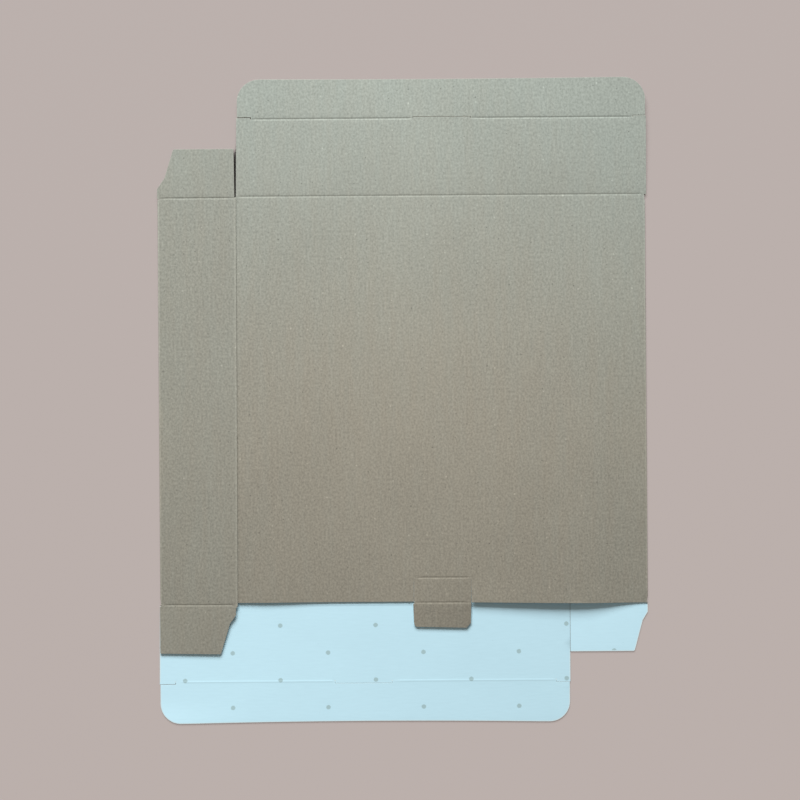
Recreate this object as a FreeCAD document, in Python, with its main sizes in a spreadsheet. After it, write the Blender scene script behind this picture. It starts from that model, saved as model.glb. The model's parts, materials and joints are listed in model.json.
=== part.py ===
"""Flat-packed tart box: a reverse-tuck folding carton of thin solid board.

The carton is a glued sleeve of four panels pressed flat, with its flaps lying
open at both ends.  Seen from above, +X is right, +Y is the top end, +Z is up:

    left side panel   top layer, far left; its raw edge is glued on the seam
    face panel        top layer, from the seam to the fold on the right
    right side panel  bottom layer, under the right end of the face panel
    back panel        bottom layer, under the left side panel and the face panel

The top closure hangs on the face panel and the bottom closure on the back
panel.  Millimetres; the origin is the centre of the outline, on the floor.
"""
import FreeCAD, Part
import math
import os
import Sketcher

doc = FreeCAD.newDocument("TartBox")

# ---------------------------------------------------------------- dimensions
SIZES = [
    ("board", 0.5, "thickness of the board"),
    ("layer_gap", 0.1, "air between the two pressed layers"),
    ("panel_width", 264.45, "width of the face and back panels, crease to crease"),
    ("side_width", 49.65, "width of the side panels, the depth of the made-up box"),
    ("panel_height", 263.2, "face or back panel, from one closure crease to the other"),
    ("side_short", 0.8, "how much shorter the side panels are, between their flaps' creases"),
    ("side_shift", 0.5, "how far the side panels sit below the middle of the sleeve"),
    ("raw_inset", 1.4, "raw end of a panel, inside the closure crease line"),
    ("raw_fall", 1.0, "how much lower the face panel's raw end is at its fold"),
    ("closure_depth", 49.6, "closure panel, crease to tuck crease"),
    ("closure_overhang", 1.0, "closure panel beyond the folded edge of the sleeve"),
    ("closure_setback", 0.5, "closure panel inside the crease of the side panel"),
    ("tuck_depth", 25.2, "tuck-in flap at its middle"),
    ("tuck_inset", 0.4, "tuck-in flap inside the closure's side edges"),
    ("tuck_radius", 12.5, "rounded corners of the tuck-in flaps"),
    ("top_hollow", 0.5, "how far the top tuck-in edge is hollow"),
    ("bottom_hollow", 1.7, "how far the bottom tuck-in edge is hollow"),
    ("dust_length", 32.0, "dust flap from its crease"),
    ("dust_shoulder", 6.2, "straight shoulder beside the dust flap's crease"),
    ("dust_notch", 4.1, "how far the notch below the shoulder steps in"),
    ("dust_notch_end", 13.6, "where the notch's slope ends, from the crease"),
    ("dust_taper", 9.6, "how far the tapered side has come in at the end"),
    ("dust_radius", 1.6, "small corners of the dust flaps"),
    ("dust_slit", 0.6, "dust flap inside the crease it shares with a closure"),
    ("tab_width", 36.8, "lock tab and the slot that takes it"),
    ("tab_hinge", 15.0, "lock tab's crease inside the raw end of the panel"),
    ("tab_reach", 16.3, "lock tab beyond the raw end of the panel"),
    ("tab_radius", 2.4, "corners of the lock tab"),
    ("lock_shift", 1.6, "slot moved off the panel's middle, towards the fold"),
    ("lock_rise", 0.9, "slot and end slits cut outside the tuck crease"),
    ("slit_length", 10.2, "slit lock at each end of a tuck crease"),
    ("knife", 0.25, "width of a die-cut line"),
    ("seam_gap", 0.4, "left side panel's raw edge short of the face panel's crease"),
    ("glue_width", 15.0, "glue flap under the left side panel"),
    ("glue_end", 3.0, "glue flap's ends short of the side panel's creases"),
    ("glue_taper", 5.0, "extra shortening at the glue flap's free edge"),
    ("bow_height", 3.2, "how far the face panel's lower edge stands up"),
    ("bow_start", 1.2, "start of the bow, right of the lock tab"),
    ("bow_back", 48.0, "peak of the bow, left of the fold"),
    ("crease_gap", 0.03, "half of the hairline between a panel and its flap"),
]

TOUCH = 0.001   # two points nearer than this are the same point

sheet = doc.addObject("Spreadsheet::Sheet", "sizes")
for row, (alias, value, note) in enumerate(SIZES, start=1):
    sheet.set(f"A{row}", note)
    sheet.set(f"B{row}", str(value))
    sheet.setAlias(f"B{row}", alias)
doc.recompute()


def cells(text):
    """Turn the bare names of an expression into cells of the sheet."""
    for alias in sorted((row[0] for row in SIZES), key=len, reverse=True):
        text = text.replace(f"<{alias}>", f"sizes.{alias}")
    return text


# Places, as expressions.  Heights of the layers:
BACK_Z = "0"
FACE_Z = cells("(<board> + <layer_gap>)")
SIDE_Z = cells("(2 * <board> + <layer_gap>)")
# Lines across the carton, from left to right:
FOLD = cells("((<panel_width> + <side_width>) / 2)")
SEAM = cells(f"({FOLD} - <side_width>)")            # seam at -SEAM, back crease at +SEAM
LEFT_RADIUS = cells("(<board> * 1.5 + <layer_gap> / 2)")
RIGHT_RADIUS = cells("(<board> + <layer_gap> / 2)")
LEFT_FLAT = f"(-{FOLD} + {LEFT_RADIUS})"
RIGHT_FLAT = f"({FOLD} - {RIGHT_RADIUS})"
CLOSURE_FAR = cells(f"({FOLD} + <closure_overhang>)")
CLOSURE_NEAR = cells(f"({SEAM} - <closure_setback>)")
DUST_NEAR = cells(f"({SEAM} + <dust_slit>)")
FACE_MIDDLE = f"(({FOLD} - {SEAM}) / 2)"            # back panel's middle is at -FACE_MIDDLE
HALF_TAB = cells("(<tab_width> / 2)")
RAW_EDGE = cells(f"(-{SEAM} - <seam_gap>)")
BOW_START = cells(f"({FACE_MIDDLE} + {HALF_TAB} + <bow_start>)")
BOW_PEAK = cells(f"({RIGHT_FLAT} - <bow_back>)")
# Lines up the carton; MIDDLE puts the outline's centre on the origin:
MIDDLE = cells("((<bottom_hollow> - <top_hollow>) / 2)")
TOP_CREASE = cells(f"({MIDDLE} + <panel_height> / 2)")
BOTTOM_CREASE = cells(f"({MIDDLE} - <panel_height> / 2)")
SIDE_TOP = cells(f"({MIDDLE} - <side_shift> + (<panel_height> - <side_short>) / 2)")
SIDE_BOTTOM = cells(f"({MIDDLE} - <side_shift> - (<panel_height> - <side_short>) / 2)")
RAW_TOP = cells(f"({TOP_CREASE} - <raw_inset>)")
RAW_BOTTOM = cells(f"({BOTTOM_CREASE} + <raw_inset>)")
RAW_CORNER = cells(f"({RAW_BOTTOM} - <raw_fall>)")
TOP_TUCK = cells(f"({TOP_CREASE} + <closure_depth>)")
BOTTOM_TUCK = cells(f"({BOTTOM_CREASE} - <closure_depth>)")
TAB_CREASE = cells(f"({RAW_BOTTOM} + <tab_hinge>)")
GAP = cells("<crease_gap>")


# ------------------------------------------------------------------- helpers
def value_of(expression):
    """What an expression gives now, for the starting shape of a sketch."""
    return float(sheet.evalExpression(expression))


def new_body(label):
    body = doc.addObject("PartDesign::Body", label)
    body.Label = label
    return body


def new_sketch(body, name, plane, offset):
    """A sketch on one of the body's own planes, moved along its normal."""
    sketch = body.newObject("Sketcher::SketchObject", name)
    face = next(f for f in body.Origin.OriginFeatures if f.Role == f"{plane}_Plane")
    sketch.AttachmentSupport = [(face, "")]
    sketch.MapMode = "FlatFace"
    sketch.setExpression("AttachmentOffset.Base.z", offset)
    return sketch


def bind(sketch, name, constraint, expression):
    """Add one dimension to a sketch, driven by the sheet."""
    index = sketch.addConstraint(constraint)
    sketch.renameConstraint(index, name)
    sketch.setExpression(f"Constraints.{name}", expression)


def pin(sketch, name, edge, end, place):
    """Fix one point of a sketch by two expressions, across and up."""
    for axis, expression in zip("XY", place):
        distance = Sketcher.Constraint(f"Distance{axis}", -1, 1, edge, end,
                                       value_of(expression))
        bind(sketch, f"{name}{axis}", distance, expression)


def nearest_end(sketch, edge, point):
    """Which end of an edge, 1 or 2, is at the point."""
    gaps = {end: sketch.getPoint(edge, end).distanceToPoint(point) for end in (1, 2)}
    return min(gaps, key=gaps.get)


def draw_outline(sketch, corners, arcs=None):
    """A closed outline through corners, each a pair of expressions.

    arcs maps an edge's number to (radius, side): the edge is an arc of that
    radius, an expression, that bulges to the left (+1) or right (-1) of the
    way from its start to its end.
    """
    arcs = arcs or {}
    points = [FreeCAD.Vector(value_of(x), value_of(y), 0) for x, y in corners]
    ends = points[1:] + points[:1]
    edges = []
    for number, (start, end) in enumerate(zip(points, ends)):
        if number not in arcs:
            edges.append(sketch.addGeometry(Part.LineSegment(start, end)))
            continue
        radius_text, side = arcs[number]
        radius, chord = value_of(radius_text), end - start
        sagitta = radius - math.sqrt(radius ** 2 - chord.Length ** 2 / 4)
        left = FreeCAD.Vector(-chord.y, chord.x, 0).normalize()
        through = (start + end) * 0.5 + left * (sagitta * side)
        edges.append(sketch.addGeometry(Part.Arc(start, through, end)))
    for number, (edge, end) in enumerate(zip(edges, ends)):
        following = edges[(number + 1) % len(edges)]
        sketch.addConstraint(Sketcher.Constraint(
            "Coincident", edge, nearest_end(sketch, edge, end),
            following, nearest_end(sketch, following, end)))
    for number, (edge, point, place) in enumerate(zip(edges, points, corners)):
        pin(sketch, f"corner{number}", edge, nearest_end(sketch, edge, point), place)
    for number, (radius_text, _) in arcs.items():
        radius = Sketcher.Constraint("Radius", edges[number], value_of(radius_text))
        bind(sketch, f"radius{number}", radius, radius_text)


def pad_layer(body, name, corners, level, arcs=None):
    """A piece of board: an outline at a level, one board thick."""
    sketch = new_sketch(body, f"{name}_outline", "XY", level)
    draw_outline(sketch, corners, arcs)
    pad = body.newObject("PartDesign::Pad", name)
    pad.Profile = sketch
    pad.setExpression("Length", cells("<board>"))
    doc.recompute()
    return pad


def round_corners(body, name, feature, corners, radius):
    """Round the upright edges of a feature at the given corners."""
    places = [FreeCAD.Vector(value_of(x), value_of(y), 0) for x, y in corners]
    names = []
    for number, edge in enumerate(feature.Shape.Edges, start=1):
        start, end = (vertex.Point for vertex in (edge.Vertexes[0], edge.Vertexes[-1]))
        flat = FreeCAD.Vector(start.x, start.y, 0)
        upright = (start - end).Length > TOUCH and math.hypot(
            start.x - end.x, start.y - end.y) < TOUCH
        if upright and any(flat.distanceToPoint(place) < TOUCH for place in places):
            names.append(f"Edge{number}")
    fillet = body.newObject("PartDesign::Fillet", name)
    fillet.Base = (feature, names)
    fillet.setExpression("Radius", radius)
    doc.recompute()
    return fillet


def cut_groove(body, name, line, level, start, end):
    """Thin the board from both faces along a crease that bends both ways.

    The groove is a wide V above and another below, meeting in a hairline at
    the middle of the board, where the crease turns.
    """
    half = cells(f"(<board> / 2 + {GAP})")
    half_board = cells("(<board> / 2)")
    middle = f"({level} + {half_board})"
    top, bottom = f"({middle} + {half})", f"({middle} - {half})"
    wide = cells(f"({half} + {GAP})")
    corners = [(f"{line} - {wide}", bottom), (f"{line} + {wide}", bottom),
               (f"{line} + {GAP}", middle), (f"{line} + {wide}", top),
               (f"{line} - {wide}", top), (f"{line} - {GAP}", middle)]
    sketch = new_sketch(body, f"{name}_section", "YZ", start)
    draw_outline(sketch, corners)
    pocket = body.newObject("PartDesign::Pocket", name)
    pocket.Profile = sketch
    pocket.Reversed = True
    pocket.setExpression("Length", f"({end}) - ({start})")
    doc.recompute()
    return pocket


# ------------------------------------------------------------------ outlines
def turned(turn, across, beyond):
    """A place given for the top end; turn -1 swings it round to the bottom end.

    across runs to the right of the middle and beyond runs up from the top
    closure's crease: the carton is the same when turned half round.
    """
    return (f"{turn} * ({across})", cells(f"{MIDDLE} + {turn} * (<panel_height> / 2 + {beyond})"))


SLOT_FROM = cells(f"({FACE_MIDDLE} + <lock_shift> - {HALF_TAB})")
SLOT_TO = cells(f"({FACE_MIDDLE} + <lock_shift> + {HALF_TAB})")
SLIT_NEAR = cells(f"(-{CLOSURE_NEAR} + <slit_length>)")
SLIT_FAR = cells(f"({CLOSURE_FAR} - <slit_length>)")
DEPTH = cells("<closure_depth>")
EAR = cells("(<closure_depth> + <lock_rise>)")
RECESS = cells("(<closure_depth> + <lock_rise> + <knife>)")
KNIFE = cells("<knife>")


def closure_end(turn):
    """The closure's tuck edge, with the ears that its slits leave standing."""
    return [turned(turn, across, beyond) for across, beyond in (
        (CLOSURE_FAR, EAR), (SLIT_FAR, EAR), (SLIT_FAR, DEPTH),
        (SLOT_TO, DEPTH), (SLOT_TO, EAR), (SLOT_FROM, EAR), (SLOT_FROM, DEPTH),
        (SLIT_NEAR, DEPTH), (SLIT_NEAR, EAR), (f"-{CLOSURE_NEAR}", EAR))]


def tuck_flap(label, turn, level, hollow):
    """A tuck-in flap: recessed round the ears, hollow edge, rounded corners."""
    near, far = cells(f"(-{CLOSURE_NEAR} + <tuck_inset>)"), cells(f"({CLOSURE_FAR} - <tuck_inset>)")
    tip = cells(f"(<closure_depth> + <tuck_depth> + {hollow})")
    corners = [turned(turn, across, beyond) for across, beyond in (
        (near, RECESS), (f"({SLIT_NEAR} + {KNIFE})", RECESS), (f"({SLIT_NEAR} + {KNIFE})", DEPTH),
        (f"({SLOT_FROM} - {KNIFE})", DEPTH), (f"({SLOT_FROM} - {KNIFE})", RECESS),
        (f"({SLOT_TO} + {KNIFE})", RECESS), (f"({SLOT_TO} + {KNIFE})", DEPTH),
        (f"({SLIT_FAR} - {KNIFE})", DEPTH), (f"({SLIT_FAR} - {KNIFE})", RECESS),
        (far, RECESS), (far, tip), (near, tip))]
    chord = f"({far} - {near})"
    edge_radius = f"(({chord} ^ 2 / 4 + {hollow} ^ 2) / (2 * {hollow}))"
    body = new_body(label)
    pad = pad_layer(body, f"{label}_board", corners, level, {10: (edge_radius, 1)})
    round_corners(body, f"{label}_corners", pad, corners[10:12], cells("<tuck_radius>"))
    cut_tuck_grooves(body, label, turn, level)
    return body


def cut_tuck_grooves(body, name, turn, level):
    """The tuck crease's two grooves, one on each side of the middle slot."""
    line = turned(turn, "0", DEPTH)[1]
    for side, start, end in (("near", SLIT_NEAR, SLOT_FROM), ("far", SLOT_TO, SLIT_FAR)):
        if turn < 0:
            start, end = f"(-{end})", f"(-{start})"
        cut_groove(body, f"{name}_crease_{side}", line, level, start, end)


def dust_outline(notch_side, plain_side, crease, up):
    """A dust flap's corners, from its crease out along the notched side.

    notch_side and plain_side are lines across; up is +1 at the top, -1 below.
    """
    inward = 1 if value_of(plain_side) > value_of(notch_side) else -1

    def place(across, along):
        return (cells(f"({notch_side} + {inward} * {across})"), cells(f"({crease} + {up} * {along})"))

    return [place("0", "0"), place("0", "<dust_shoulder>"), place("<dust_notch>", "<dust_notch_end>"),
            place("<dust_taper>", "<dust_length>"), (plain_side, place("0", "<dust_length>")[1]),
            (plain_side, place("0", "0")[1])]


def dust_flap(label, outline, level):
    """A loose dust flap; its two outer corners are slightly rounded."""
    body = new_body(label)
    pad = pad_layer(body, f"{label}_board", outline, level)
    round_corners(body, f"{label}_corners", pad, outline[3:5], cells("<dust_radius>"))
    return body


# -------------------------------------------------------------- glued sleeve
def add_fold(body, name, across, radius, facing, low, high):
    """A panel edge folded right round on itself: half a ring along Y.

    across is where the flat board ends, radius the outside of the fold and
    facing the side that it bulges to, -1 for the left edge of the carton.
    """
    sketch = new_sketch(body, f"{name}_section", "XZ", f"-({low})")
    centre = FreeCAD.Vector(value_of(across), value_of(radius), 0)
    start, end = (math.pi / 2, -math.pi / 2) if facing < 0 else (-math.pi / 2, math.pi / 2)
    for ring, size in enumerate((radius, cells(f"({radius} - <board>)"))):
        circle = Part.Circle(centre, FreeCAD.Vector(0, 0, 1), value_of(size))
        arc = sketch.addGeometry(Part.ArcOfCircle(circle, start, end))
        pin(sketch, f"centre{ring}", arc, 3, (across, radius))
        bind(sketch, f"ring{ring}", Sketcher.Constraint("Radius", arc, value_of(size)), size)
        for tip in (1, 2):
            sketch.addConstraint(Sketcher.Constraint("Vertical", arc, 3, arc, tip))
    for tip in (1, 2):
        line = sketch.addGeometry(Part.LineSegment(sketch.getPoint(0, tip), sketch.getPoint(1, tip)))
        sketch.addConstraint(Sketcher.Constraint("Coincident", line, 1, 0, tip))
        sketch.addConstraint(Sketcher.Constraint("Coincident", line, 2, 1, tip))
    pad = body.newObject("PartDesign::Pad", name)
    pad.Profile = sketch
    pad.Reversed = True
    pad.setExpression("Length", f"({high}) - ({low})")
    doc.recompute()
    return pad


def face_section(body, name, line, height):
    """The face panel's section on one line across it, bowed up by a height.

    The bow is two ramps, each of two equal arcs, flat where they start, meet
    and end; with no height the same points lie in a row.
    """
    sketch = new_sketch(body, name, "XZ", f"-({line})")
    climbs = [(BOW_START, BOW_PEAK), (BOW_PEAK, RIGHT_FLAT)]
    stations = [(f"-{SEAM}", "0"), (BOW_START, "0"),
                (f"(({BOW_START} + {BOW_PEAK}) / 2)", f"({height} / 2)"), (BOW_PEAK, height),
                (f"(({BOW_PEAK} + {RIGHT_FLAT}) / 2)", f"({height} / 2)"), (RIGHT_FLAT, "0")]
    lower = [(across, f"({FACE_Z} + {rise})") for across, rise in stations]
    upper = [(across, cells(f"({FACE_Z} + <board> + {rise})")) for across, rise in stations]
    arcs = {}
    if height != "0":
        radii = [f"((({to} - {at}) ^ 2 + {height} ^ 2) / (4 * {height}))" for at, to in climbs]
        bends = [(radii[0], -1), (radii[0], 1), (radii[1], 1), (radii[1], -1)]
        first_below, first_above = 1, 2 * len(stations) - 3
        for number, (radius, side) in enumerate(bends):
            arcs[first_below + number] = (radius, side)
            arcs[first_above - number] = (radius, -side)
    draw_outline(sketch, lower + upper[::-1], arcs)
    return sketch


def make_sleeve():
    body = new_body("sleeve")
    hidden_flap = dust_outline(DUST_NEAR, RIGHT_FLAT, SIDE_TOP, 1)
    tab_end = cells(f"({RAW_TOP} + <tab_reach>)")
    tab_right, tab_left = f"(-{FACE_MIDDLE} + {HALF_TAB})", f"(-{FACE_MIDDLE} - {HALF_TAB})"
    back_sheet = closure_end(-1) + [
        (CLOSURE_NEAR, SIDE_BOTTOM), (RIGHT_FLAT, SIDE_BOTTOM), hidden_flap[5]]
    back_sheet += hidden_flap[4:0:-1] + hidden_flap[:1] + [
        (DUST_NEAR, RAW_TOP), (tab_right, RAW_TOP), (tab_right, tab_end),
        (tab_left, tab_end), (tab_left, RAW_TOP), (LEFT_FLAT, RAW_TOP),
        (LEFT_FLAT, BOTTOM_CREASE), (f"-{CLOSURE_FAR}", BOTTOM_CREASE)]
    unique = [corner for number, corner in enumerate(back_sheet) if corner not in back_sheet[:number]]
    pad_layer(body, "back_and_right_side", unique, BACK_Z)
    add_fold(body, "left_fold", LEFT_FLAT, LEFT_RADIUS, -1, f"({SIDE_BOTTOM} + {GAP})", RAW_TOP)
    pad_layer(body, "left_side", [
        (LEFT_FLAT, f"({SIDE_BOTTOM} + {GAP})"), (RAW_EDGE, f"({SIDE_BOTTOM} + {GAP})"),
        (RAW_EDGE, SIDE_TOP), (LEFT_FLAT, SIDE_TOP)], SIDE_Z)
    glue_low, glue_high = cells(f"({SIDE_BOTTOM} + <glue_end>)"), cells(f"({SIDE_TOP} - <glue_end>)")
    free_low, free_high = cells(f"({glue_low} + <glue_taper>)"), cells(f"({glue_high} - <glue_taper>)")
    glue_free = cells(f"(-{SEAM} - <glue_width>)")
    pad_layer(body, "glue_flap", [
        (glue_free, free_low), (f"-{SEAM}", glue_low), (f"-{SEAM}", glue_high),
        (glue_free, free_high)], FACE_Z)
    add_fold(body, "right_fold", RIGHT_FLAT, RIGHT_RADIUS, 1, RAW_CORNER, SIDE_TOP)

    straight = face_section(body, "face_at_top", f"({TOP_CREASE} - {GAP})", "0")
    bowed = face_section(body, "face_at_raw_end", RAW_CORNER, cells("<bow_height>"))
    face = body.newObject("PartDesign::AdditiveLoft", "face_panel")
    face.Profile = straight
    face.Sections = [bowed]
    face.Ruled = True
    doc.recompute()

    tab_from, tab_to = f"({FACE_MIDDLE} - {HALF_TAB} - {KNIFE})", f"({FACE_MIDDLE} + {HALF_TAB} + {KNIFE})"
    beyond = cells(f"({RAW_CORNER} - <tab_reach>)")
    trim = new_sketch(body, "raw_end_outline", "XY", cells(f"({FACE_Z} - <layer_gap> / 2)"))
    draw_outline(trim, [
        (f"-{SEAM}", beyond), (RIGHT_FLAT, beyond), (RIGHT_FLAT, RAW_CORNER),
        (tab_to, RAW_BOTTOM), (tab_to, f"({TAB_CREASE} + {GAP})"),
        (tab_from, f"({TAB_CREASE} + {GAP})"), (tab_from, RAW_BOTTOM), (f"-{SEAM}", RAW_BOTTOM)])
    raw_end = body.newObject("PartDesign::Pocket", "raw_end")
    raw_end.Profile = trim
    raw_end.Type = "ThroughAll"
    raw_end.Reversed = True
    doc.recompute()

    cut_groove(body, "left_top_crease", SIDE_TOP, SIDE_Z, f"-{FOLD}", f"-{SEAM}")
    cut_groove(body, "right_bottom_crease", SIDE_BOTTOM, BACK_Z, SEAM, FOLD)
    cut_tuck_grooves(body, "bottom_tuck", -1, BACK_Z)
    return body


# --------------------------------------------------------------- loose flaps
def make_top_closure():
    body = new_body("top_closure")
    crease = f"({TOP_CREASE} + {GAP})"
    corners = [(f"-{CLOSURE_NEAR}", crease), (CLOSURE_FAR, crease)] + closure_end(1)
    pad_layer(body, "top_closure_board", corners, FACE_Z)
    cut_tuck_grooves(body, "top_tuck", 1, FACE_Z)
    return body


def make_dust_flaps():
    fold_left, near_left = f"-{FOLD}", f"-{DUST_NEAR}"
    flaps = [
        dust_flap("left_dust_flap_top", dust_outline(fold_left, near_left, SIDE_TOP, 1), SIDE_Z),
        dust_flap("left_dust_flap_bottom",
                  dust_outline(near_left, fold_left, f"({SIDE_BOTTOM} - {GAP})", -1), SIDE_Z),
        dust_flap("right_dust_flap_bottom", dust_outline(FOLD, SEAM, SIDE_BOTTOM, -1), BACK_Z)]
    cut_groove(flaps[0], "left_top_hinge", SIDE_TOP, SIDE_Z, fold_left, near_left)
    cut_groove(flaps[2], "right_bottom_hinge", SIDE_BOTTOM, BACK_Z, SEAM, FOLD)
    return flaps


def make_lock_tab():
    left, right = f"({FACE_MIDDLE} - {HALF_TAB})", f"({FACE_MIDDLE} + {HALF_TAB})"
    tab_fold = cells(f"({RAW_BOTTOM} - <lock_rise>)")
    tab_end = cells(f"({RAW_BOTTOM} - <tab_reach>)")
    root = new_body("lock_tab")
    pad_layer(root, "lock_tab_board", [
        (left, f"({tab_fold} + {GAP})"), (right, f"({tab_fold} + {GAP})"),
        (right, f"({TAB_CREASE} - {GAP})"), (left, f"({TAB_CREASE} - {GAP})")], FACE_Z)
    tip = new_body("lock_tab_tip")
    corners = [(left, tab_end), (right, tab_end),
               (right, f"({tab_fold} - {GAP})"), (left, f"({tab_fold} - {GAP})")]
    pad = pad_layer(tip, "lock_tab_tip_board", corners, FACE_Z)
    round_corners(tip, "lock_tab_tip_corners", pad, corners[:2], cells("<tab_radius>"))
    return [root, tip]


pieces = [make_sleeve(), make_top_closure()]
pieces += [tuck_flap("top_tuck_flap", 1, FACE_Z, cells("<top_hollow>")),
           tuck_flap("bottom_tuck_flap", -1, BACK_Z, cells("<bottom_hollow>"))]
pieces += make_dust_flaps() + make_lock_tab()
doc.recompute()

# -------------------------------------------------------------------- export
for item in doc.Objects:
    if "Invalid" in item.State or "Error" in item.State:
        raise RuntimeError(f"{item.Label} failed: {item.State}")
for piece in pieces:
    shape = piece.Shape
    if shape.isNull() or not shape.isValid() or len(shape.Solids) != 1:
        raise RuntimeError(f"{piece.Label} is not one valid solid")
os.makedirs("parts", exist_ok=True)
for piece in pieces:
    piece.Shape.exportStep(f"parts/{piece.Label}.step")
    print(f"{piece.Label:24s} {piece.Shape.Volume / 1000:8.2f} cm3")
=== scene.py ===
"""Flat-packed tart box, the looks: one die-cut blank of kraft board, folded on itself.

Every piece is cut from the same blank.  A place on the blank is (along, up):
along runs round the section of the pressed sleeve, from the crease of the glue
flap over the face panel, the right fold, the right side and back panels, the
left fold and the left side panel; up is the carton's own +Y.  The lay functions
fold the blank into the frame.  Lengths are in metres, and MM is a millimetre.
"""
import json
import math

import bpy
import numpy as np
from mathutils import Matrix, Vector, geometry


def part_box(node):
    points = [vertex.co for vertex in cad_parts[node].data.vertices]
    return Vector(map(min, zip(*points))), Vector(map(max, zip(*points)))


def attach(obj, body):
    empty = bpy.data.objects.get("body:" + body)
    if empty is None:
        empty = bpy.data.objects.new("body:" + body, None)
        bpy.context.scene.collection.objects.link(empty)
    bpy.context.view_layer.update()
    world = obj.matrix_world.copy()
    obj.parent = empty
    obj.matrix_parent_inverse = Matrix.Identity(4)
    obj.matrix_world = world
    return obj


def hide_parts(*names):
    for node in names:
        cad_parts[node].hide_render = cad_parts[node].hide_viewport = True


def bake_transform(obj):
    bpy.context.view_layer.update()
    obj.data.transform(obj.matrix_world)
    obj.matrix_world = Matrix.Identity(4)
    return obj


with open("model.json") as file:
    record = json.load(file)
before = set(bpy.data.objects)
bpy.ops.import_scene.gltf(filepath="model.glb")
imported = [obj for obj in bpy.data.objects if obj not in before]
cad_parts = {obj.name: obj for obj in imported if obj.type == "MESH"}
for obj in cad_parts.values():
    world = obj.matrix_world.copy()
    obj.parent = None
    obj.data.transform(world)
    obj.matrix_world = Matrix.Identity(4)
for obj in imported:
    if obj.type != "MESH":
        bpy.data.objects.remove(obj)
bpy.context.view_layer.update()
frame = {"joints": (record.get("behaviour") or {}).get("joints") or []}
MM = 0.001

# ---- places of the CAD
closure_low, closure_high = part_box("top_closure")
side_low, side_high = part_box("left_dust_flap_top")
right_flap_low, right_flap_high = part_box("right_dust_flap_bottom")
tab_low, tab_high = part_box("lock_tab")
tip_low, tip_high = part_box("lock_tab_tip")
top_tuck_low, top_tuck_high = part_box("top_tuck_flap")
bottom_tuck_low, bottom_tuck_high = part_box("bottom_tuck_flap")
crease_at = {joint["name"]: joint["pos_m"][1] for joint in frame["joints"]}

BOARD = closure_high.z - closure_low.z          # thickness of the board
FACE_Z, SIDE_Z = closure_low.z, side_low.z      # undersides of the two upper layers
FOLD = right_flap_high.x                        # outside of both long folds
SEAM = right_flap_low.x                         # seam at -SEAM, back crease at +SEAM
LEFT_RADIUS = (SIDE_Z + BOARD) / 2
RIGHT_RADIUS = (FACE_Z + BOARD) / 2
LEFT_FLAT, RIGHT_FLAT = -FOLD + LEFT_RADIUS, FOLD - RIGHT_RADIUS
NEAR, FAR = -closure_low.x, closure_high.x      # closure's sides, from the middle
TOP_CREASE, TOP_TUCK = crease_at["top_closure_crease"], crease_at["top_tuck_crease"]
BOTTOM_TUCK = crease_at["bottom_tuck_crease"]
SIDE_TOP = crease_at["left_top_dust_crease"]
SIDE_BOTTOM = crease_at["left_bottom_dust_crease"]
TAB_CREASE, TAB_FOLD = crease_at["lock_tab_crease"], crease_at["lock_tab_tip_crease"]
MIDDLE = (TOP_TUCK + BOTTOM_TUCK) / 2           # the carton turns into itself about this
BOTTOM_CREASE = 2 * MIDDLE - TOP_CREASE
LOCK_RISE = closure_high.y - TOP_TUCK           # slits are cut outside the tuck crease
RAW_BOTTOM = TAB_FOLD + LOCK_RISE
RAW_TOP = 2 * MIDDLE - RAW_BOTTOM
FACE_MIDDLE = (tab_low.x + tab_high.x) / 2
HALF_TAB = (tab_high.x - tab_low.x) / 2
TAB_HINGE = TAB_CREASE - RAW_BOTTOM
TAB_REACH = RAW_BOTTOM - tip_low.y
DUST_LENGTH = side_high.y - SIDE_TOP
DUST_SLIT = -side_high.x - SEAM                 # dust flap inside the crease line

# ---- the blank's cuts
RAW_FALL = 1.2 * MM                    # the face's raw end is this much lower at the fold,
RAW_CORNER = RAW_BOTTOM - RAW_FALL
RAW_STEP = 0.5 * MM                    # and this much higher left of the lock tab
RAW_EDGE = -SEAM + 0.35 * MM           # the left side panel's raw edge at its lower end,
RAW_TOP_EDGE = RAW_EDGE + 0.5 * MM     # and at its upper end
GLUE_WIDTH, GLUE_END, GLUE_TAPER = 15 * MM, 0.9 * MM, 5 * MM
STRIP = 0.9 * MM                       # board beside a crease that bends with a flap
SQUARE = 0.3 * MM                      # radius of a plain corner

# Closures and their tuck-in flaps; where there are two, turn 1 is the top end, -1 the bottom:
TUCK_RADIUS = {1: 14.5 * MM, -1: 13 * MM}
TUCK_HOLLOW = {1: 0.5 * MM, -1: 1.2 * MM}          # its edge is this hollow
SLITS = {1: (10.2 * MM, 8.8 * MM), -1: (9.1 * MM, 10.2 * MM)}      # length, near and far side
SLIT_WIDTHS = {1: (0.45 * MM, 0.25 * MM, 0.18 * MM), -1: (0.12 * MM, 0.12 * MM, 0.25 * MM)}
SLOT_MIDDLE = FACE_MIDDLE + 1.6 * MM               # of the slot that takes the lock tab
SIDE_IN = {1: (0.3 * MM, 0.45 * MM), -1: (0.55 * MM, 0.15 * MM)}   # far side, at fold and tuck
TOP_LEAN = 1.25 * MM                               # the top closure's left side leans in

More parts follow.
